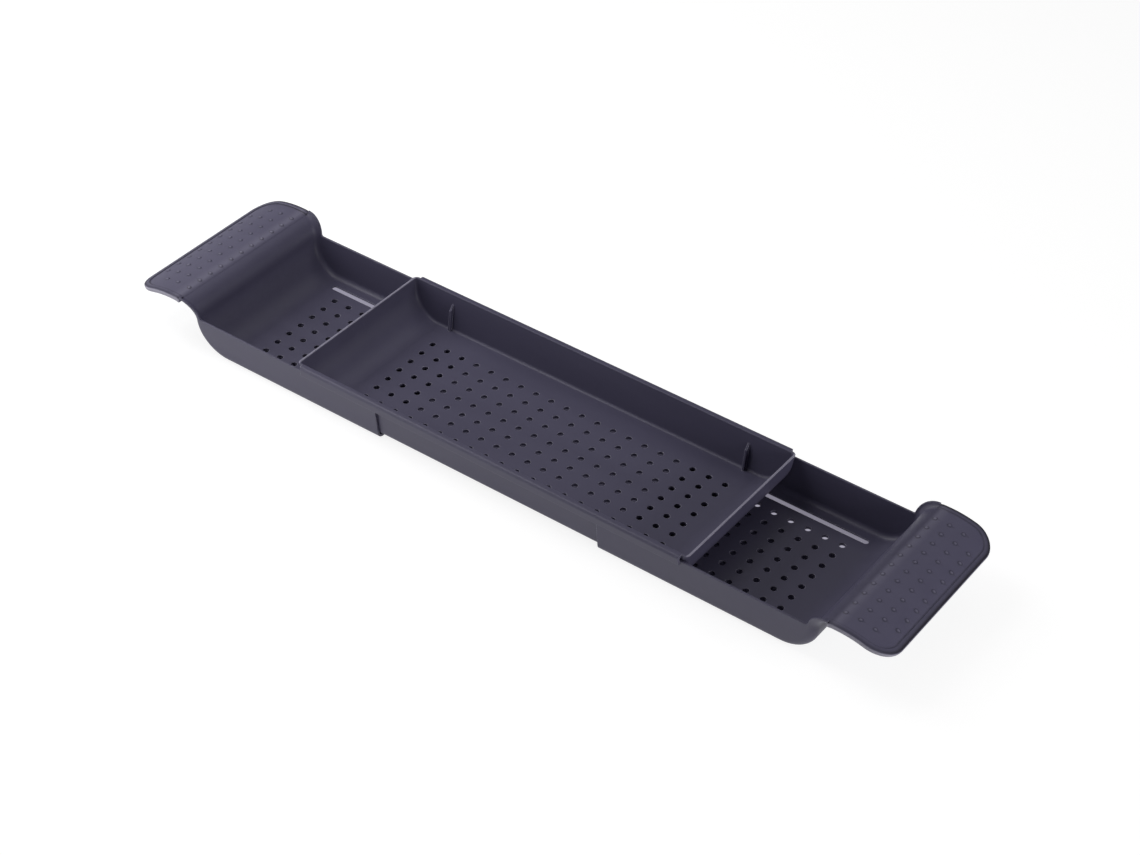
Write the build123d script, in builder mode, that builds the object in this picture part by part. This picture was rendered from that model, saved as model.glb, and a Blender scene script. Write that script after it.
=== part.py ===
from build123d import *
import os
from math import asin, cos, degrees, radians, sin, tan

# Extending bath caddy: a drained centre tray hooked over two end trays that slide out from
# under it, each with a wing that rests on the bath's rim in a soft grip.
# Millimetres, +Z up. X runs across the bath and Y along it. The origin is on the ground under
# the middle of the caddy. The right end tray is drawn, and the left one mirrors it.

os.makedirs("parts", exist_ok=True)

# Mouldings: one wall, one floor and one lean for every upright wall
wall = 1.8
floor_thickness = 2.4
wall_lean = 7.0
sliding_gap = 0.3
edge_radius = 0.5
overrun = 5.0

# Drain holes, in one pitch on all three floors
hole_diameter = 5.2
hole_pitch_x = 15.0
hole_rows = 7
hole_side_inset = 25.4
centre_hole_columns = 20
end_hole_columns = 10
end_hole_inset = 16.5

# Centre tray
centre_length = 369.6
centre_floor_width = 136.0
centre_height = 34.85
centre_lift = 3.9
centre_scoop_radius = 26.0
centre_corner_radius = 2.5

# Hooks: the centre tray's long rims, folded out and down over the end trays' walls
hook_height = 8.4
hook_thickness = 1.5
hook_end_setback = 5.5
hook_shoulder_radius = 2.4
hook_inner_radius = 0.8
hook_end_radius = 2.4

# Gusset ribs inside the centre tray's long walls
rib_height = 23.5
rib_reach = 3.2
rib_width = 1.8
rib_slope = 5.0
rib_inset = 41.2

# Slides: headed keys under the centre tray run in a stepped slot at each side of an end floor
slot_width = 5.0
slot_side_inset = 11.2
slot_outer_inset = 2.5
recess_width = 9.2
recess_depth = 1.3
key_length = 7.0
key_inset = 34.8
key_head_width = 8.2
key_ground_clearance = 0.2
pad_length = 14.0
pad_width = 8.0
stop_gap = 0.5
extend_travel = 35.0

# End trays
overlap_at_rest = 79.8
end_floor_length = 158.5
end_wall_height = 33.7
end_scoop_radius = 28.2
end_corner_radius = 4.7
crest_radius = 15.2
crest_top = 48.2
hump_radius = 17.3
hump_top = 49.9
hump_flare = 2.22
hump_foot_radius = 2.0

# Wings, and the soft grips that sleeve them
wing_length = 45.6
wing_flat = 3.3
wing_droop_radius = 80.0
wing_corner_radius = 20.0
grip_root = 4.7
grip_skin = 1.1
grip_side = 3.0
grip_fit = 0.1
grip_root_gap = 0.2
grip_edge_radius = 1.6
border_width = 4.5
border_height = 0.5
pimple_pitch_out = 12.0
pimple_side_inset = 17.5
pimple_columns = 4
pimple_rows = 11
pimple_radius = 1.5
pimple_height = 0.55

# Levels and places worked out from the sizes above
lean = tan(radians(wall_lean))
wall_across = wall / cos(radians(wall_lean))
gap_across = sliding_gap / cos(radians(wall_lean))
hook_across = hook_thickness / cos(radians(wall_lean))
centre_floor_top = centre_lift + floor_thickness
centre_top = centre_lift + centre_height
half_centre = centre_length / 2
hook_half_length = half_centre - hook_end_setback
hook_bottom = centre_top - hook_height
rib_x = half_centre - rib_inset
rib_top = centre_floor_top + rib_height
hole_pitch_y = (centre_floor_width - 2 * hole_side_inset) / (hole_rows - 1)
slot_spacing = centre_floor_width - 2 * slot_side_inset
key_x = half_centre - key_inset
stem_width = slot_width - 2 * sliding_gap
key_head_length = key_length + key_head_width - stem_width
key_head_thickness = recess_depth - sliding_gap - key_ground_clearance
pad_bottom = floor_thickness + sliding_gap
inner_end_x = half_centre - overlap_at_rest
scoop_x = inner_end_x + end_floor_length
slot_start_x = key_x - key_length / 2 - extend_travel - stop_gap
slot_end_x = scoop_x - slot_outer_inset
slot_length = slot_end_x - slot_start_x
crest_x = scoop_x + end_scoop_radius + wall + crest_radius
crest_z = crest_top - wall - crest_radius
crest_middle = crest_radius + wall / 2
hump_end_x = crest_x - grip_root
hump_z = hump_top - hump_radius
flat_end_x = crest_x + wing_flat
droop_z = crest_z + crest_middle - wing_droop_radius
wing_end_x = crest_x + wing_length
form_top = hump_top + overrun
field_level = wall / 2 + grip_skin

# A face whose normal has less than this share of a direction doesn't face that way
level_share = 0.02


def long_wall(z, walls, gaps):
    """Half width at a height of the nest of long walls, that many walls and gaps out."""
    inner = centre_floor_width / 2 + (z - centre_floor_top) * lean
    return inner + walls * wall_across + gaps * gap_across


def flared_wall(walls):
    """Half width of the end tray's flared walls at the hump's top, that many walls out."""
    return long_wall(hump_top, walls, 1) + hump_flare


# The wings are as wide as the end trays' walls where these flare out to meet them
wing_width = 2 * flared_wall(2)
pimple_pitch_across = (wing_width - 2 * pimple_side_inset) / (pimple_rows - 1)


def side_edges(form, start, finish, top):
    """Edges that run along both sides of a form's floor and scoops."""
    floors = form.faces().filter_by(lambda face: abs(face.normal_at().Y) < level_share)
    floors = floors.filter_by(lambda face: start < face.center().X < finish)
    floors = floors.filter_by(lambda face: face.center().Z < top)
    return floors.edges().filter_by(Axis.Y, reverse=True)


def centre_form(half_top, radius, low, high, walls, corner):
    """Outer or inner form of the centre tray: a flat floor that scoops up at both ends."""
    scoop_top = low + radius * (1 - sin(radians(wall_lean)))
    start = half_top - radius * cos(radians(wall_lean)) - (centre_top - scoop_top) * lean
    half_high = half_top + (high - centre_top) * lean
    with BuildPart() as form:
        with BuildSketch(Plane.XZ):
            with BuildLine():
                Line((0, low), (start, low))
                scoop = CenterArc((start, low + radius), radius, -90, 90 - wall_lean)
                Line(scoop @ 1, (half_high, high))
                Line((half_high, high), (0, high))
                mirror(about=Plane.YZ)
            make_face()
        extrude(amount=half_centre, both=True)
        with BuildSketch(Plane.YZ):
            with BuildLine():
                Polyline(
                    (0, low),
                    (long_wall(low, walls, 0), low),
                    (long_wall(high, walls, 0), high),
                    (0, high),
                )
                mirror(about=Plane.YZ)
            make_face()
        extrude(amount=centre_length, both=True, mode=Mode.INTERSECT)
        fillet(side_edges(form, -centre_length, centre_length, centre_top - edge_radius), corner)
    return form.part


def end_form(start, radius, crest, low, walls, corner):
    """Outer or inner form of the right end tray: a floor that scoops up and over into the wing."""
    flare_half = flared_wall(walls)
    wall_half = long_wall(end_wall_height, walls, 1)
    with BuildPart() as form:
        with BuildSketch(Plane.XZ):
            with BuildLine():
                Line((start, low), (scoop_x, low))
                scoop = CenterArc((scoop_x, low + radius), radius, -90, 90)
                Line(scoop @ 1, (crest_x - crest, crest_z))
                over = CenterArc((crest_x, crest_z), crest, 180, -90)
                Polyline(over @ 1, (crest_x, form_top), (start, form_top), (start, low))
            make_face()
        extrude(amount=wing_width, both=True)
        with BuildSketch(Plane.YZ):
            with BuildLine():
                Line((0, low), (long_wall(low, walls, 1), low))
                Line((long_wall(low, walls, 1), low), (wall_half, end_wall_height))
                TangentArc(
                    (wall_half, end_wall_height), (flare_half, hump_top), tangent=(lean, 1)
                )
                Polyline((flare_half, hump_top), (flare_half, form_top), (0, form_top))
                mirror(about=Plane.YZ)
            make_face()
        extrude(amount=crest_x + overrun, mode=Mode.INTERSECT)
        fillet(side_edges(form, start, crest_x, form_top), corner)
    return form.part


def wing_form(root, inset, below, above):
    """Slab of the wing between two levels off its middle, on the wing's plan less an inset."""
    sweep = degrees(asin((wing_end_x + overrun - flat_end_x) / (wing_droop_radius + below)))
    with BuildPart() as form:
        with BuildSketch(Plane.XZ):
            with BuildLine():
                ends = []
                for level in (below, above):
                    crest = CenterArc((crest_x, crest_z), crest_middle + level, 180, -90)
                    Line(crest @ 1, (flat_end_x, droop_z + wing_droop_radius + level))
                    droop = CenterArc((flat_end_x, droop_z), wing_droop_radius + level, 90, -sweep)
                    ends.append((crest @ 0, droop @ 1))
                Line(ends[0][0], ends[1][0])
                Line(ends[0][1], ends[1][1])
            make_face()
        extrude(amount=wing_width, both=True)
        with BuildSketch() as plan:
            with Locations((root, 0)):
                Rectangle(
                    wing_end_x - inset - root,
                    wing_width - 2 * inset,
                    align=(Align.MIN, Align.CENTER),
                )
            fillet(plan.vertices().group_by(Axis.X)[-1], wing_corner_radius - inset)
        extrude(amount=form_top, mode=Mode.INTERSECT)
    return form.part


def pimple_centre(distance, across):
    """Centre of the sphere whose cap is the pimple at that distance out from the crest."""
    reach = wing_droop_radius + field_level
    turn = max(distance - wing_flat, 0) / reach
    depth = (pimple_radius**2 - pimple_height**2) / (2 * pimple_height)
    back = max(wing_flat - distance, 0)
    return (
        flat_end_x - back + (reach - depth) * sin(turn),
        across,
        droop_z + (reach - depth) * cos(turn),
    )


# Hooks of the centre tray, one on each long rim
shoulder = (long_wall(centre_top, 2, 2) + hook_across, centre_top)
hook_inside = (long_wall(centre_top - hook_thickness, 2, 2), centre_top - hook_thickness)
with BuildPart() as hooks:
    with BuildSketch(Plane.YZ) as hook_section:
        with BuildLine():
            Polyline(
                (long_wall(centre_top, 0, 0), centre_top),
                shoulder,
                (long_wall(hook_bottom, 2, 2) + hook_across, hook_bottom),
                (long_wall(hook_bottom, 2, 2), hook_bottom),
                hook_inside,
                (long_wall(centre_top, 0, 0), centre_top - hook_thickness),
                close=True,
            )
        make_face()
        fillet(hook_section.vertices().sort_by_distance(shoulder)[0], hook_shoulder_radius)
        fillet(hook_section.vertices().sort_by_distance(hook_inside)[0], hook_inner_radius)
        fillet(hook_section.vertices().group_by(Axis.Y)[0], edge_radius)
        mirror(about=Plane.YZ)
    extrude(amount=hook_half_length, both=True)
    with BuildSketch(Plane.XY.offset(hook_bottom)) as hook_plan:
        Rectangle(2 * hook_half_length, 2 * shoulder[0])
        fillet(hook_plan.vertices(), hook_end_radius)
    extrude(amount=hook_height, mode=Mode.INTERSECT)

# Centre tray: a shell with hooked long rims, gusset ribs, drain holes and four headed keys
with BuildPart() as centre_tray:
    add(
        centre_form(
            half_centre,
            centre_scoop_radius + wall,
            centre_lift,
            centre_top,
            1,
            centre_corner_radius + wall,
        )
    )
    add(hooks.part)
    with BuildSketch(Plane.XY.offset(pad_bottom)):
        with GridLocations(2 * key_x, slot_spacing, 2, 2):
            Rectangle(pad_length, pad_width)
    extrude(amount=centre_lift + floor_thickness / 2 - pad_bottom)
    with BuildSketch(Plane.XY.offset(key_ground_clearance)):
        with GridLocations(2 * key_x, slot_spacing, 2, 2):
            SlotOverall(key_length, stem_width)
    extrude(amount=centre_lift - key_ground_clearance)
    with BuildSketch(Plane.XY.offset(key_ground_clearance)):
        with GridLocations(2 * key_x, slot_spacing, 2, 2):
            SlotOverall(key_head_length, key_head_width)
    extrude(amount=key_head_thickness)
    add(
        centre_form(
            half_centre - wall,
            centre_scoop_radius,
            centre_floor_top,
            centre_top + overrun,
            0,
            centre_corner_radius,
        ),
        mode=Mode.SUBTRACT,
    )
    for side in (-1, 1):
        with BuildSketch(Plane.YZ.offset(side * rib_x)):
            with BuildLine():
                Polyline(
                    (long_wall(centre_lift, 1, 0) - wall, centre_lift + floor_thickness / 2),
                    (long_wall(rib_top, 1, 0) - wall / 2, rib_top),
                    (long_wall(rib_top, 0, 0), rib_top),
                    (long_wall(rib_top - rib_slope, 0, 0) - rib_reach, rib_top - rib_slope),
                    (long_wall(centre_lift, 0, 0) - rib_reach, centre_lift + floor_thickness / 2),
                    close=True,
                )
            make_face()
            mirror(about=Plane.YZ)
        extrude(amount=rib_width / 2, both=True)
    with BuildSketch(Plane.XY.offset(centre_floor_top)):
        with GridLocations(hole_pitch_x, hole_pitch_y, centre_hole_columns, hole_rows):
            Circle(hole_diameter / 2)
    extrude(amount=-floor_thickness, mode=Mode.SUBTRACT)
    rim = centre_tray.faces().sort_by(Axis.Z)[-1]
    rim_ends = rim.outer_wire().edges().filter_by(lambda e: abs(e.center().X) > hook_half_length)
    rim_ends = rim_ends.filter_by(lambda e: abs(e.center().Y) < long_wall(centre_top, 1, 0))
    fillet(rim.inner_wires()[0].edges() + rim_ends, edge_radius)

# Right end tray: a shell open at its inner end, whose scoop turns over into the wing's plate
foot_angle = degrees(asin((end_wall_height - hump_z) / hump_radius))
foot = (hump_end_x - hump_radius * cos(radians(foot_angle)), end_wall_height)
with BuildPart() as right_end_tray:
    add(
        end_form(
            inner_end_x, end_scoop_radius + wall, crest_radius, 0, 2, end_corner_radius + wall
        )
    )
    with BuildSketch(Plane.XZ) as side_view:
        with BuildLine():
            hump = CenterArc((hump_end_x, hump_z), hump_radius, 90, 90 - foot_angle)
            Polyline(
                hump @ 1,
                (inner_end_x, end_wall_height),
                (inner_end_x, 0),
                (hump_end_x, 0),
                hump @ 0,
            )
        make_face()
        fillet(side_view.vertices().sort_by_distance(foot)[0], hump_foot_radius)
    extrude(amount=wing_width, both=True, mode=Mode.INTERSECT)
    add(
        end_form(
            inner_end_x - overrun,
            end_scoop_radius,
            crest_radius + wall,
            floor_thickness,
            1,
            end_corner_radius,
        ),
        mode=Mode.SUBTRACT,
    )
    wall_tops = right_end_tray.faces().filter_by(lambda f: abs(f.normal_at().Y) < level_share)
    wall_tops = wall_tops.filter_by(lambda f: abs(f.center().Y) > centre_floor_width / 2)
    fillet(wall_tops.edges().filter_by(Axis.Y, reverse=True), edge_radius)
    add(wing_form(hump_end_x, grip_side, -wall / 2, wall / 2))
    with BuildSketch():
        with Locations(((slot_start_x + slot_end_x) / 2, 0)):
            with GridLocations(0, slot_spacing, 1, 2):
                SlotOverall(slot_length, slot_width)
        with Locations((scoop_x - end_hole_inset - (end_hole_columns - 1) * hole_pitch_x / 2, 0)):
            with GridLocations(hole_pitch_x, hole_pitch_y, end_hole_columns, hole_rows):
                Circle(hole_diameter / 2)
    extrude(amount=floor_thickness, mode=Mode.SUBTRACT)
    with BuildSketch():
        with Locations(((slot_start_x + slot_end_x) / 2, 0)):
            with GridLocations(0, slot_spacing, 1, 2):
                SlotOverall(slot_length + recess_width - slot_width, recess_width)
    extrude(amount=recess_depth, mode=Mode.SUBTRACT)

# Right grip: a soft sleeve over the wing's plate, with a raised border and rows of pimples
with BuildPart() as right_grip:
    grip_root_x = hump_end_x + grip_root_gap
    add(wing_form(grip_root_x, 0, -field_level, field_level + border_height))
    rim_faces = right_grip.faces().filter_by(lambda f: abs(f.normal_at().Z) < level_share)
    rim_faces = rim_faces.filter_by(lambda f: f.center().X > grip_root_x + edge_radius)
    fillet(rim_faces.edges().filter_by(Axis.Z, reverse=True), grip_edge_radius)
    add(
        wing_form(grip_root_x - overrun, border_width, field_level, field_level + overrun),
        mode=Mode.SUBTRACT,
    )
    for column in range(pimple_columns):
        last = column == pimple_columns - 1
        rows = pimple_rows - 2 if last else pimple_rows
        for row in range(rows):
            across = (row - (rows - 1) / 2) * pimple_pitch_across
            with Locations(pimple_centre(column * pimple_pitch_out, across)):
                Sphere((pimple_radius**2 + pimple_height**2) / (2 * pimple_height))
    add(
        wing_form(
            grip_root_x - overrun, grip_side - grip_fit, -wall / 2 - grip_fit, wall / 2 + grip_fit
        ),
        mode=Mode.SUBTRACT,
    )

# Left pieces
with BuildPart() as left_end_tray:
    mirror(right_end_tray.part, about=Plane.YZ)
with BuildPart() as left_grip:
    mirror(right_grip.part, about=Plane.YZ)

centre_tray.part.label = "centre_tray"
right_end_tray.part.label = "right_end_tray"
left_end_tray.part.label = "left_end_tray"
right_grip.part.label = "right_grip"
left_grip.part.label = "left_grip"

export_step(centre_tray.part, "parts/centre_tray.step")
export_step(right_end_tray.part, "parts/right_end_tray.step")
export_step(left_end_tray.part, "parts/left_end_tray.step")
export_step(right_grip.part, "parts/right_grip.step")
export_step(left_grip.part, "parts/left_grip.step")
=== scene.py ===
from math import cos, pi, radians, sin, sqrt

import bmesh
import bpy
from mathutils import Matrix, Vector


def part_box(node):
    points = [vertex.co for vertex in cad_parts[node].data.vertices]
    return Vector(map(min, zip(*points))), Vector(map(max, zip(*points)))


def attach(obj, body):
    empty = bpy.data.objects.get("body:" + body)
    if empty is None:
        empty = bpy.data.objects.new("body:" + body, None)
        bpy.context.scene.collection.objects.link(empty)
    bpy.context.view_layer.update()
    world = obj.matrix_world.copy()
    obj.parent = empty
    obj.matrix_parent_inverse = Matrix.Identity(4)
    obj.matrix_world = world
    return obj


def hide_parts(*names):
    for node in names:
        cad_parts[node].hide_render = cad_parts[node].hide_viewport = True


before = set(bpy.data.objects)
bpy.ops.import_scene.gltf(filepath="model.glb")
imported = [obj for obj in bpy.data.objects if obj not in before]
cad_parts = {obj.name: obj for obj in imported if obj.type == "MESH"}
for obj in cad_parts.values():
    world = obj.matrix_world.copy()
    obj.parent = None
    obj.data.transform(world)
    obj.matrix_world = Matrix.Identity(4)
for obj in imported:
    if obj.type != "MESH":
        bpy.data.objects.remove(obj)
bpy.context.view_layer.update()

# An extending bath caddy, as it comes out of its box: a drained centre tray hooked over two end
# trays that slide out from under it, and a soft grip on each wing where it lies on the bath's rim.
# Metres, +Z up, +X across the bath along the slides and +Y along the bath.


# Centre tray
# One injection moulding in polypropylene, coloured dark aubergine grey all through. Its long rims
# fold out and down into hooks that hold the end trays' walls. Pins in the mould leave the holes in
# its floor, so the holes' edges are as crisp as the rims are soft.
def linear(code):
    """Linear RGBA of an sRGB colour written as a hex code."""
    channels = [int(code[place:place + 2], 16) / 255 for place in (1, 3, 5)]
    shares = [c / 12.92 if c <= 0.04045 else ((c + 0.055) / 1.055) ** 2.4 for c in channels]
    return (*shares, 1.0)


def empty_tree(owner):
    """The node tree of a material or a world, with nothing in it."""
    owner.use_nodes = True
    owner.node_tree.nodes.clear()
    return owner.node_tree


def add_node(tree, kind, settings=None, links=None):
    """Add a node to a tree, set its properties and sockets by name, and link its inputs."""
    made = tree.nodes.new(kind)
    for name, value in (settings or {}).items():
        if name in made.inputs:
            made.inputs[name].default_value = value
        else:
            setattr(made, name, value)
    for name, source in (links or {}).items():
        tree.links.new(source, made.inputs[name])
    return made


def noise(place, size, detail, roughness):
    """Noise at a place, with features of about a size."""
    settings = {"Scale": 1 / size, "Detail": detail, "Roughness": roughness}
    made = add_node(place.id_data, "ShaderNodeTexNoise", settings, {"Vector": place})
    return made.outputs["Fac"]


def ramp(value, start, stop, low=0.0, high=1.0, kind="LINEAR"):
    """A number that goes from low to high while a value goes from start to stop."""
    settings = {"interpolation_type": kind}
    settings.update({"From Min": start, "From Max": stop, "To Min": low, "To Max": high})
    made = add_node(value.id_data, "ShaderNodeMapRange", settings, {"Value": value})
    return made.outputs["Result"]


def maths(operation, first, second=None):
    """The result of an operation on one value or on two."""
    links = {0: first} if second is None else {0: first, 1: second}
    made = add_node(first.id_data, "ShaderNodeMath", {"operation": operation}, links)
    return made.outputs["Value"]


def blend(share, under, over):
    """One colour laid over another by a share. A colour is a socket or a hex code."""
    settings = {}
    links = {"Fac": share}
    for name, colour in (("Color1", under), ("Color2", over)):
        if isinstance(colour, str):
            settings[name] = linear(colour)
        else:
            links[name] = colour
    return add_node(share.id_data, "ShaderNodeMixRGB", settings, links).outputs["Color"]


def moulded_polypropylene(name, colour, noise_turn, rim=None):
    """Satin moulded polypropylene. The spark-eroded mould leaves an even fine grain that breaks up
    the highlights, and the melt's flow leaves faint streaks of colour. The edges are painted paler,
    partly as the wear of hands and the sliding trays and partly as a painted highlight. A rim is
    the x and z of an end's top corner."""
    plastic = bpy.data.materials.new(name)
    tree = empty_tree(plastic)
    place = add_node(tree, "ShaderNodeTexCoord").outputs["Object"]

    # The melt runs along the tray from its gate, so the streaks are drawn out along X. The turn
    # of the noise follows that, and only takes the streaks from another part of it
    streak_width = 0.022
    streak_stretch = 6
    drawn_out = add_node(
        tree,
        "ShaderNodeMapping",
        {"Rotation": (0, 0, noise_turn), "Scale": (1 / streak_stretch, 1, 1)},
        {"Vector": place},
    )
    flow = noise(drawn_out.outputs["Vector"], streak_width, 4.0, 0.55)

    # The real grain is about 0.1 mm, too fine for a whole view, and is drawn at 0.9 mm
    grain_size = 0.0009
    grain_depth = 0.00008
    grain = noise(place, grain_size, 2.0, 0.6)

    # Edges are where the rounded normal leaves the flat one. They are painted paler, partly as wear
    # and partly as a painted highlight along the rounding
    edge_round = 0.0007
    rounded = add_node(tree, "ShaderNodeBevel", {"samples": 6, "Radius": edge_round})
    flat = add_node(tree, "ShaderNodeNewGeometry")
    agreeing = add_node(
        tree,
        "ShaderNodeVectorMath",
        {"operation": "DOT_PRODUCT"},
        {0: rounded.outputs["Normal"], 1: flat.outputs["Normal"]},
    )
    worn_and_highlit = ramp(agreeing.outputs["Value"], 0.995, 0.80)
    shade = blend(flow, colour["deep"], colour["body"])
    shade = blend(worn_and_highlit, shade, colour["rubbed_and_highlit"])

    if rim:
        # What is laid across the tray slides on its end rims, which are painted palest, partly as
        # that wear and partly as a painted highlight along their tops
        rim_wear_and_highlight_width = 0.0024
        rim_wear_and_highlight_depth = 0.0010
        fade = 0.0008
        spot = add_node(tree, "ShaderNodeSeparateXYZ", None, {0: place})
        inner = rim[0] - rim_wear_and_highlight_width
        lower = rim[1] - rim_wear_and_highlight_depth
        outward = ramp(maths("ABSOLUTE", spot.outputs["X"]), inner, inner + fade)
        upward = ramp(spot.outputs["Z"], lower, lower + fade)
        shade = blend(maths("MULTIPLY", outward, upward), shade, colour["rim"])

    bump = add_node(
        tree,
        "ShaderNodeBump",
        {"Strength": 0.25, "Distance": grain_depth},
        {"Height": grain, "Normal": rounded.outputs["Normal"]},
    )
    surface = add_node(
        tree,
        "ShaderNodeBsdfPrincipled",
        {"IOR": 1.49, "Metallic": 0.0},
        {
            "Base Color": shade,
            "Roughness": ramp(flow, 0.3, 0.7, 0.46, 0.54),
            "Normal": bump.outputs["Normal"],
        },
    )
    add_node(tree, "ShaderNodeOutputMaterial", None, {"Surface": surface.outputs["BSDF"]})
    return plastic


def make_of(piece, material):
    """Give a piece one material, in place of any that it has."""
    piece.data.materials.clear()
    piece.data.materials.append(material)


# The rubbed edges and the rims are painted pale, partly as wear and partly as painted highlight
aubergine = {"deep": "#4b485e", "body": "#535067", "rubbed_and_highlit": "#9a97a8", "rim": "#8f8c9e"}
tray_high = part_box("centre_tray")[1]
rim_corner = (tray_high.x, tray_high.z)
centre_plastic = moulded_polypropylene("centre_polypropylene", aubergine, 0.0, rim_corner)
make_of(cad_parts["centre_tray"], centre_plastic)

# End trays
# Two mirror-image mouldings in the same polypropylene, from other shots, so their streaks differ
# from the centre tray's. The end wall scoops up and turns over into the wing's plate.
end_plastic = moulded_polypropylene("end_polypropylene", aubergine, pi / 2)
for side_name in ("left", "right"):
    make_of(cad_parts[f"{side_name}_end_tray"], end_plastic)


# Grips
# Thermoplastic elastomer sleeves moulded over the wings' plates. A raised border runs round three
# sides, rows of pimples stand on the field inside it, and the root feathers down to the plastic.
grip_low, grip_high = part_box("right_grip")
root = grip_low.x
tip = grip_high.x
half_across = grip_high.y
plate_thickness = 0.0018
plate_inset = 0.003
play = 0.00003
skin = 0.0008
under_skin = 0.0011
feathered_skin = 0.0001
feather_length = 0.009
border_width = 0.0045
border_height = 0.0008
groove_width = 0.0014
corner_radius = 0.020
edge_roundness = 0.0016
edge_steps = 8
field_level = plate_thickness / 2 + skin
under_level = plate_thickness / 2 + under_skin
border_level = field_level + border_height
pimple_pitch_out = 0.012
pimple_pitch_across = 0.0124
pimple_columns = 4
pimple_rows = 11
pimple_radius = 0.0015
pimple_height = 0.0007
# On the front side the edge's painted shade is cut by this share, as that side faces the light
front_lit_share = 0.5

# The plate turns over the crest, runs on flat for a little, and droops in a wide arc to its tip.
# The crest is kept as the middle of its arc
crest_radius = 0.0161
wing_flat = 0.0033
droop_radius = 0.080
root_to_crest = 0.0045
crest = Vector((root + root_to_crest, 0, grip_high.z - border_level - crest_radius))
flat_end = crest.x + wing_flat
sheet_tip = flat_end + (tip - flat_end) * droop_radius / (droop_radius + field_level)


def over_plate(x, y, level):
    """The point that is a level above the middle of the wing's plate, square to it, at x and y."""
    if x < crest.x:
        centre, radius = crest, crest_radius
    elif x < flat_end:
        centre, radius = Vector((x, 0, crest.z)), crest_radius
    else:
        centre, radius = Vector((flat_end, 0, crest.z + crest_radius - droop_radius)), droop_radius
    lean = (x - centre.x) / radius
    return centre + (radius + level) * Vector((lean, 0, sqrt(1 - lean * lean))) + Vector((0, y, 0))


def spaced(start, stop, centres, fine, coarse, reach):
    """Places from start to stop, close together near the centres and wider apart elsewhere."""
    places = [start]
    while places[-1] < stop - fine:
        here = places[-1]
        near = min((abs(here + fine / 2 - c) for c in centres), default=coarse)
        ahead = min((c - reach - here for c in centres if c - reach > here), default=coarse)
        step = fine if near < reach else min(coarse, max(ahead, fine))
        places.append(min(here + step, stop))
    if stop - places[-1] > fine / 4:
        places.append(stop)
    places[-1] = stop
    return places


pimple_places = []
for column in range(pimple_columns):
    rows = pimple_rows - 2 if column == pimple_columns - 1 else pimple_rows
    out = column * pimple_pitch_out
    turn = max(out - wing_flat, 0) / (droop_radius + field_level)
    pimple_x = crest.x + min(out, wing_flat) + droop_radius * sin(turn)
    for row in range(rows):
        pimple_places.append((pimple_x, (row - (rows - 1) / 2) * pimple_pitch_across))


def nearest_pimple(x, y):
    """How far the nearest pimple's middle is, in pimple radii."""
    return min(sqrt((x - a) ** 2 + (y - b) ** 2) for a, b in pimple_places) / pimple_radius


def pimple_rise(x, y):
    """How far the pimples lift the field at a place: low domes with a soft foot."""
    dome_reach = 1.06
    foot_reach = 1.3
    foot_rise = 0.6
    share = nearest_pimple(x, y)
    if share > foot_reach:
        return 0.0
    dome = sqrt(max(1 - (share / dome_reach) ** 2, 0))
    foot = foot_rise * ((foot_reach - share) / foot_reach) ** 3
    return pimple_height * max(dome, foot)


def pimple_tone(x, y):
    """Painted shade round a pimple's foot, and a paler top that is partly rubbed and partly a
    painted highlight.
    """
    share = nearest_pimple(x, y)
    painted_shade = 0.6 * max(0, 1 - abs(share - 1.05) / 0.35)
    rubbed_and_highlit = 0.3 * max(0, 1 - share / 0.7)
    return painted_shade - rubbed_and_highlit


def sheet_rows(inset, crowded):
    """Rows of x and y over the grip's plan less an inset, with as many places in every row.
    Crowded ones are close together at the pimples. The places along a row are set by shares of
    the way from the root to its end."""
    turn_radius = corner_radius - inset
    straight = half_across - corner_radius
    length = sheet_tip - inset - root
    if crowded:
        beside = [y for x, y in pimple_places]
        along = [(x - root) / length for x, y in pimple_places]
        middle = spaced(-straight, straight, beside, fine=0.0004, coarse=0.003, reach=0.002)
        shares = spaced(0.0, 1.0, along, fine=0.009, coarse=0.07, reach=0.045)
        steps = 48
    else:
        middle = spaced(-straight, straight, [], fine=0.006, coarse=0.006, reach=0)
        shares = spaced(0.0, 1.0, [], fine=0.08, coarse=0.08, reach=0)
        steps = 14
    corner = [pi / 2 * step / steps for step in range(steps, 0, -1)]
    ends = [(-straight - turn_radius * sin(a), turn_radius * (1 - cos(a)), a) for a in corner]
    rows = []
    for y, drawn_in, angle in ends:
        rows.append((y, sheet_tip - inset - drawn_in, -angle))
    for y in middle:
        rows.append((y, sheet_tip - inset, 0.0))
    for y, drawn_in, angle in reversed(ends):
        rows.append((-y, sheet_tip - inset - drawn_in, angle))
    return [(y, [root + share * (end - root) for share in shares], angle) for y, end, angle in rows]


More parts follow.
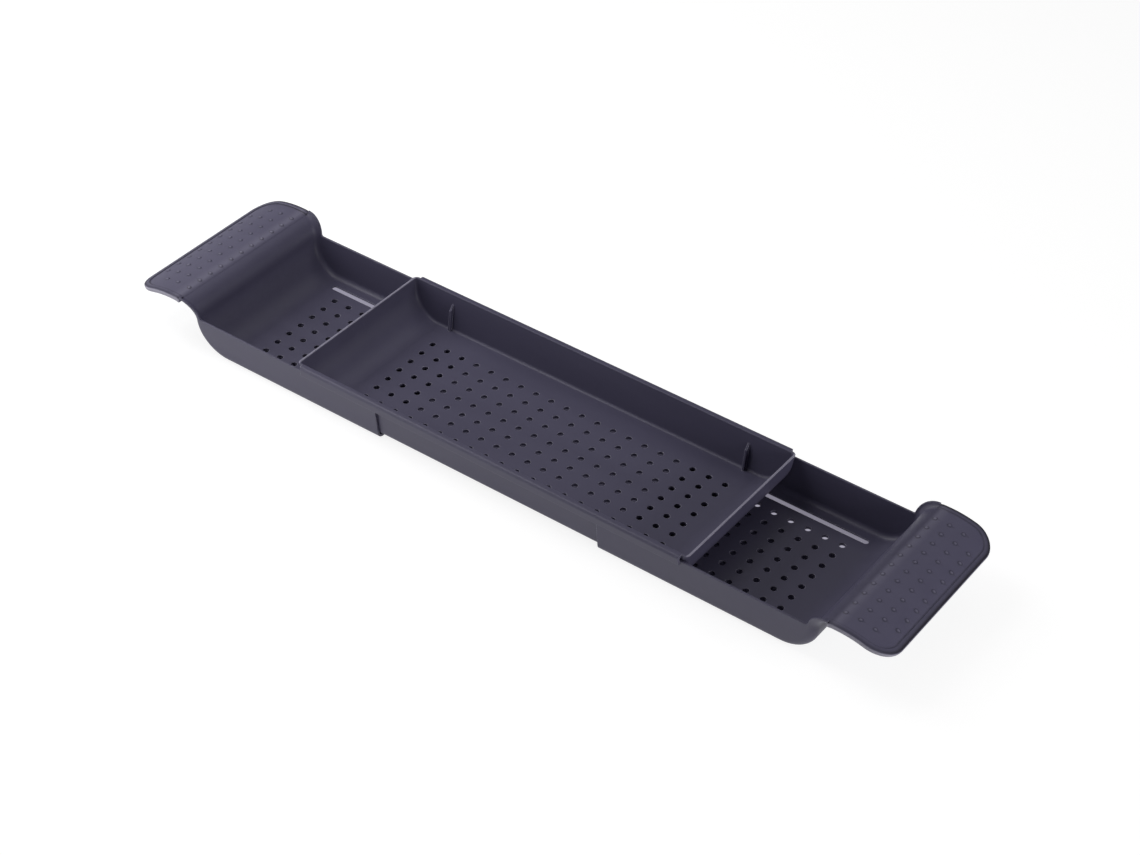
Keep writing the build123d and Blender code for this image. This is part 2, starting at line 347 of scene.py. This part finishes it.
def sleeve_side(rows, inset, profile, top_level, top_tone, verts, tones, faces):
    """One skin of the sleeve: its upper sheet, the edge that a profile of insets, levels and
    tones draws round three sides, and its lower sheet. Returns the ring of points at the root."""
    count = len(rows[0][1])
    sheets = []
    for lift, tone in ((top_level, top_tone), (lambda x, y: profile[-1][1], lambda x, y: 0.0)):
        sheets.append(len(verts))
        for y, places, angle in rows:
            for x in places:
                verts.append(over_plate(x, y, lift(x, y)))
                tones.append(tone(x, y))
    upper, lower = sheets
    for line in range(len(rows) - 1):
        for step in range(count - 1):
            a = line * count + step
            faces.append((upper + a, upper + a + 1, upper + a + count + 1, upper + a + count))
            faces.append((lower + a, lower + a + count, lower + a + count + 1, lower + a + 1))
    rim = [(place, rows[0][0], -pi / 2, step) for step, place in enumerate(rows[0][1])]
    for line in range(1, len(rows) - 1):
        rim.append((rows[line][1][-1], rows[line][0], rows[line][2], line * count + count - 1))
    last = len(rows) - 1
    for step in reversed(range(count)):
        rim.append((rows[last][1][step], rows[last][0], pi / 2, last * count + step))
    rings = [[upper + at for x, y, angle, at in rim]]
    for run, level, tone in profile[1:-1]:
        start = len(verts)
        out = inset - run
        for x, y, angle, at in rim:
            x_out = x + out * cos(angle) if abs(angle) < pi / 2 else x
            verts.append(over_plate(x_out, y + out * sin(angle), level))
            # The front side faces the light, so its painted shade is cut more than the others'
            front_lit = front_lit_share * max(0, -sin(angle)) if tone > 0 else 0
            tones.append(tone * (1 - front_lit))
        rings.append(list(range(start, start + len(rim))))
    rings.append([lower + at for x, y, angle, at in rim])
    for inner, outer in zip(rings, rings[1:]):
        for step in range(len(rim) - 1):
            faces.append((inner[step], outer[step], outer[step + 1], inner[step + 1]))
    upper_root = [upper + line * count for line in range(len(rows))]
    lower_root = [lower + line * count for line in range(len(rows))]
    down = [ring[-1] for ring in rings[1:-1]]
    up = [ring[0] for ring in reversed(rings[1:-1])]
    return upper_root + down + lower_root[::-1] + up


def edge_profile(inset, groove, band):
    """Insets, levels and tones from the field's foot over the border and round the edge to the
    underside. Painted shade has a tone above 0 and painted light one below it. The shade lies in
    the groove inside the border, on the border's band, and on the rounding above its parting line,
    and the light on the rounding at and below it."""
    profile = [
        (inset, field_level, 0),
        (border_width + 0.0009, field_level - 0.08 * border_height, 0.5 * groove),
        (border_width + 0.0005, field_level - 0.10 * border_height, groove),
        (border_width + 0.0002, field_level + 0.20 * border_height, groove),
        (border_width - 0.0001, field_level + 0.75 * border_height, 0.3 * groove),
        (border_width - 0.0005, field_level + 0.96 * border_height, 0.3 * band),
        (border_width - 0.0010, border_level, 0.6 * band),
        (edge_roundness + 0.0010, border_level, 0.15 + band),
        (edge_roundness + 0.0004, border_level, 0.6 + band / 2),
    ]
    for step in range(edge_steps + 1):
        angle = pi / 2 * step / edge_steps
        run = edge_roundness * (1 - sin(angle))
        tone = max(-1, min(1, 0.9 + step / 4, 2.4 - 0.6 * step))
        profile.append((run, border_level - edge_roundness * (1 - cos(angle)), tone))
    for step in range(edge_steps + 1):
        angle = pi / 2 * step / edge_steps
        run = edge_roundness * (1 - cos(angle))
        tone = max(-1, (step - edge_steps) / 2)
        profile.append((run, -under_level + edge_roundness * (1 - sin(angle)), tone))
    profile.append((edge_roundness + 0.0006, -under_level, 0))
    profile.append((inset, -under_level, 0))
    return profile


def field(x, y):
    """The level of the field between the borders, feathered at the root, with its pimples."""
    share = min(max((x - root) / feather_length, 0), 1)
    eased = share * share * (3 - 2 * share)
    thickness = feathered_skin + (skin - feathered_skin) * eased
    return plate_thickness / 2 + thickness + pimple_rise(x, y)


def grip_mesh(name, side, groove, band):
    """The sleeve on the right wing, or its mirror image on the left one, and its two root rings."""
    verts, tones, faces = [], [], []
    inset = border_width + groove_width
    profile = edge_profile(inset, groove, band)
    rows = sheet_rows(inset, True)
    outer = sleeve_side(rows, inset, profile, field, pimple_tone, verts, tones, faces)

    hollow_inset = plate_inset - play
    hollow_level = plate_thickness / 2 + play
    inner_verts, inner_faces = [], []
    hollow = sleeve_side(
        sheet_rows(hollow_inset, False),
        hollow_inset,
        [(hollow_inset, hollow_level, 0), (hollow_inset, 0.0, 0), (hollow_inset, -hollow_level, 0)],
        lambda x, y: hollow_level,
        lambda x, y: 0.0,
        inner_verts,
        tones,
        inner_faces,
    )
    shift = len(verts)
    verts += inner_verts
    faces += [tuple(shift + v for v in reversed(face)) for face in inner_faces]
    hollow = [shift + v for v in hollow]

    mesh = bpy.data.meshes.new(name)
    mesh.from_pydata([(side * v.x, v.y, v.z) for v in verts], [], faces)
    mesh.attributes.new("edge_painted_shading", "FLOAT", "POINT").data.foreach_set("value", tones)
    mesh.validate()
    piece = bpy.data.objects.new(name, mesh)
    bpy.context.scene.collection.objects.link(piece)
    return piece, outer, hollow


def close_root(piece, outer, hollow):
    """Join the outer skin to the hollow at the root, where the plate goes in."""
    form = bmesh.new()
    form.from_mesh(piece.data)
    form.verts.ensure_lookup_table()
    edges = []
    for ring in (outer, hollow):
        for a, b in zip(ring, ring[1:] + ring[:1]):
            edge = form.edges.get((form.verts[a], form.verts[b]))
            edges.append(edge or form.edges.new((form.verts[a], form.verts[b])))
    bmesh.ops.bridge_loops(form, edges=edges)
    bmesh.ops.recalc_face_normals(form, faces=form.faces)
    form.to_mesh(piece.data)
    form.free()
    piece.data.shade_smooth()
    piece.data.set_sharp_from_angle(angle=radians(50))


def overmoulded_elastomer(name, colour):
    """Matte thermoplastic elastomer. It takes the mould's grain softly, so highlights spread
    wide, and skin oil and dust leave it faintly cloudy."""
    rubber = bpy.data.materials.new(name)
    tree = empty_tree(rubber)
    place = add_node(tree, "ShaderNodeTexCoord").outputs["Object"]

    # Clouds of handling are about 18 mm across. The real grain is about 0.08 mm and is drawn at
    # 0.8 mm
    cloud_size = 0.018
    grain_size = 0.0008
    grain_depth = 0.0001
    cloud = noise(place, cloud_size, 5.0, 0.6)
    grain = noise(place, grain_size, 2.0, 0.7)
    shade = blend(cloud, colour["deep"], colour["body"])

    # The skin thins out towards the root, where the darker plastic shows through it
    spot = add_node(tree, "ShaderNodeSeparateXYZ", None, {0: place})
    from_middle = maths("ABSOLUTE", spot.outputs["X"])
    thick = ramp(from_middle, root, root + 0.5 * feather_length, kind="SMOOTHSTEP")
    shade = blend(thick, colour["root"], shade)

    # The crest stands highest, and is painted a little paler there as painted light
    crest_painted_light = ramp(from_middle, crest.x + 0.007, crest.x - 0.001, 0.0, 0.16, "SMOOTHSTEP")
    shade = blend(maths("MULTIPLY", thick, crest_painted_light), shade, colour["painted_light"])

    # Painted shade darkens what lies within 2 mm of a corner: the pimples' feet and the border's
    # inside
    painted_shade_reach = 0.002
    corner = add_node(tree, "ShaderNodeAmbientOcclusion", {"samples": 8, "Distance": painted_shade_reach})
    shade = blend(ramp(corner.outputs["AO"], 0.95, 0.60, 0.0, 0.9), shade, colour["painted_shade"])

    # The edge is painted with shade in the groove, on the band and on the rounding above its
    # parting line, and with painted light, as from the pale floor, on the rounding below
    tone = add_node(tree, "ShaderNodeAttribute", {"attribute_name": "edge_painted_shading"}).outputs["Fac"]
    shade = blend(ramp(tone, 0.0, 1.0), shade, colour["painted_shade"])
    shade = blend(ramp(tone, 0.0, -1.0), shade, colour["painted_light"])

    # Where shade is painted the rubber is also rougher, so it hardly mirrors the pale floor
    clean = ramp(cloud, 0.3, 0.7, 0.52, 0.62)
    dulled = maths("ADD", clean, ramp(tone, 0.0, 1.0, 0.0, 0.38))
    bump = add_node(
        tree,
        "ShaderNodeBump",
        {"Strength": 0.3, "Distance": grain_depth},
        {"Height": grain},
    )
    surface = add_node(
        tree,
        "ShaderNodeBsdfPrincipled",
        {"IOR": 1.48, "Metallic": 0.0},
        {"Base Color": shade, "Roughness": dulled, "Normal": bump.outputs["Normal"]},
    )
    add_node(tree, "ShaderNodeOutputMaterial", None, {"Surface": surface.outputs["BSDF"]})
    return rubber


# Of these, the darkest colour is painted shade and the palest painted light
lavender = {
    "root": "#504d63",
    "deep": "#545168",
    "body": "#5d5a71",
    "painted_shade": "#211f2a",
    "painted_light": "#a5a2b2",
}
elastomer = overmoulded_elastomer("grip_elastomer", lavender)

# In the photograph the groove is the darker part of the left grip, and the border's band that of
# the right one, so the painted shade lies there
for side_name, side, groove, band in (("left", -1, 0.7, 0.0), ("right", 1, 0.3, 0.3)):
    grip, outer_ring, hollow_ring = grip_mesh(f"{side_name}_soft_grip", side, groove, band)
    close_root(grip, outer_ring, hollow_ring)
    make_of(grip, elastomer)
    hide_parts(f"{side_name}_grip")
    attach(grip, f"{side_name}_end")


# Studio
# A pale sweep and six soft lights: wide boxes on the left, the right and behind, one over the left
# end, and two at its front that light the outer walls. The floor keeps the caddy's soft shadow, and
# the ground under the trays is painted with shade and light.
def mixed_shader(share, first, second):
    """One shader where a share is 0, and another where it is 1."""
    links = {0: share, 1: first, 2: second}
    return add_node(share.id_data, "ShaderNodeMixShader", None, links).outputs["Shader"]


def between(value, none, full, still_full, none_again):
    """Share of the places between two limits. It fades in at the one and out at the other."""
    return maths("MULTIPLY", ramp(value, none, full), ramp(value, none_again, still_full))


def ground_from(tree, tray):
    """Places on the ground along and across the caddy, measured from a tray."""
    place = add_node(tree, "ShaderNodeTexCoord", {"object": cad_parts[tray]})
    spot = add_node(tree, "ShaderNodeSeparateXYZ", None, {0: place.outputs["Object"]})
    return spot.outputs["X"], spot.outputs["Y"]


floor_radius = 4.0
bpy.ops.mesh.primitive_circle_add(vertices=128, radius=floor_radius, fill_type="NGON")
floor = bpy.context.object
floor.name = "studio_floor"
sweep = bpy.data.materials.new("painted_sweep")
sweep_tree = empty_tree(sweep)
paint = add_node(sweep_tree, "ShaderNodeBsdfDiffuse", {"Color": linear("#e6e6e6")})
faint_paint = add_node(sweep_tree, "ShaderNodeBsdfDiffuse", {"Color": linear("#909090")})
glow = add_node(sweep_tree, "ShaderNodeEmission", {"Color": (1, 1, 1, 1), "Strength": 0.86})
open_floor = add_node(
    sweep_tree,
    "ShaderNodeAddShader",
    None,
    {0: faint_paint.outputs["BSDF"], 1: glow.outputs["Emission"]},
)

# The ground that the caddy covers is seen only through its holes and slots, and it glows with
# painted shadow and painted light. As in the photograph it is painted dark under the end trays,
# grey under the raised centre tray, and light below the slots and below the right tray's back row
# of holes. Each tray's share of it is measured from that tray, so it goes where the tray slides
along, across = ground_from(sweep_tree, "centre_tray")
left_along = ground_from(sweep_tree, "left_end_tray")[0]
right_along = ground_from(sweep_tree, "right_end_tray")[0]
far_across = maths("ABSOLUTE", across)
under_left = between(left_along, -0.271, -0.268, -0.108, -0.102)
under_right = between(right_along, 0.102, 0.108, 0.268, 0.271)
under_ends = maths("MAXIMUM", under_left, under_right)
under_back_row = between(across, 0.040, 0.041, 0.047, 0.048)
under_right_back_row = maths("MULTIPLY", under_back_row, ramp(right_along, 0.164, 0.166))
under_slots = between(far_across, 0.050, 0.053, 0.060, 0.062)
slot_shade = blend(ramp(along, -0.26, 0.20), "#9895a6", "#827f8d")
painted_ground = blend(under_ends, "#3b3946", "#0d0c14")
painted_ground = blend(under_right_back_row, painted_ground, "#a4a1b0")
painted_ground = blend(under_slots, painted_ground, slot_shade)
painted_ground_glow = add_node(sweep_tree, "ShaderNodeEmission", {"Strength": 1.0}, {"Color": painted_ground})

# It ends at the trays' outline, and where nothing is close above the ground
close_above = 0.008
openness = add_node(
    sweep_tree, "ShaderNodeAmbientOcclusion", {"samples": 12, "Distance": close_above}
)
under_centre = ramp(maths("ABSOLUTE", along), 0.160, 0.156)
under_trays = maths("MAXIMUM", under_ends, under_centre)
footprint = maths("MULTIPLY", under_trays, ramp(far_across, 0.0645, 0.0625))
painted_ground_share = maths("MULTIPLY", footprint, ramp(openness.outputs["AO"], 0.92, 0.85))
shown = mixed_shader(painted_ground_share, open_floor.outputs["Shader"], painted_ground_glow.outputs["Emission"])

# What the camera sees, also in reflections and through clear things, is that floor. All other
# light meets plain paint
rays = add_node(sweep_tree, "ShaderNodeLightPath")
seen = maths("MAXIMUM", rays.outputs["Is Camera Ray"], rays.outputs["Is Glossy Ray"])
seen = maths("MAXIMUM", seen, rays.outputs["Is Transmission Ray"])
chosen = mixed_shader(seen, paint.outputs["BSDF"], shown)
add_node(sweep_tree, "ShaderNodeOutputMaterial", None, {"Surface": chosen})
make_of(floor, sweep)

world = bpy.data.worlds.new("studio_air")
bpy.context.scene.world = world
air = empty_tree(world)
air_rays = add_node(air, "ShaderNodeLightPath")
dim = add_node(air, "ShaderNodeBackground", {"Color": (1, 1, 1, 1), "Strength": 0.05})
white = add_node(air, "ShaderNodeBackground", {"Color": (1, 1, 1, 1), "Strength": 1.0})
sky = mixed_shader(
    air_rays.outputs["Is Camera Ray"], dim.outputs["Background"], white.outputs["Background"]
)
add_node(air, "ShaderNodeOutputWorld", None, {"Surface": sky})


def softbox(name, place, aimed_at, width, height, power, gloss=1.0):
    """A rectangular softbox that stands at one place and looks at another."""
    lamp = bpy.data.lights.new(name, "AREA")
    lamp.shape = "RECTANGLE"
    lamp.size = width
    lamp.size_y = height
    lamp.energy = power
    lamp.specular_factor = gloss
    box = bpy.data.objects.new(name, lamp)
    bpy.context.scene.collection.objects.link(box)
    box.location = place
    box.rotation_euler = (Vector(place) - Vector(aimed_at)).to_track_quat("Z", "Y").to_euler()


softbox("left_softbox", (-1.3, 0, 0.9), (0, 0, 0), 1.0, 0.6, 8.0, gloss=0.4)
softbox("right_softbox", (1.4, 0, 0.45), (0, 0, 0), 1.0, 0.4, 7.9)
softbox("back_softbox", (0, 0.9, 1.3), (0, 0, 0), 1.0, 0.6, 1.8)
softbox("left_overhead", (-0.45, -0.15, 0.9), (-0.3, 0, 0), 0.5, 0.5, 2.9)
softbox("left_front_card", (-0.65, -0.65, 0.16), (-0.35, 0, 0), 0.7, 0.25, 1.45)
softbox("left_front_fill", (-0.8, -0.8, 0.9), (-0.2, 0, 0), 0.7, 0.6, 0.9)

# Camera
# A long lens looking down on the caddy's near right corner, rolled a little, as in the photograph.
lens_mm = 77.3
sensor_mm = 36
camera_azimuth = radians(35.14)
camera_elevation = radians(39.35)
camera_roll = radians(1.783)
camera_distance = 1.8812
aim = Vector((0.02166, 0.00683, 0.025))
back = Vector(
    (
        sin(camera_azimuth) * cos(camera_elevation),
        -cos(camera_azimuth) * cos(camera_elevation),
        sin(camera_elevation),
    )
)
level = Vector((cos(camera_azimuth), sin(camera_azimuth), 0))
steep = back.cross(level)
rightward = cos(camera_roll) * level + sin(camera_roll) * steep
upward = back.cross(rightward)
camera = bpy.data.objects.new("camera", bpy.data.cameras.new("camera"))
bpy.context.scene.collection.objects.link(camera)
camera.data.lens = lens_mm
camera.data.sensor_width = sensor_mm
turned = Matrix((rightward, upward, back)).transposed().to_4x4()
camera.matrix_world = Matrix.Translation(aim + camera_distance * back) @ turned
bpy.context.scene.camera = camera
bpy.context.scene.view_settings.view_transform = "Standard"
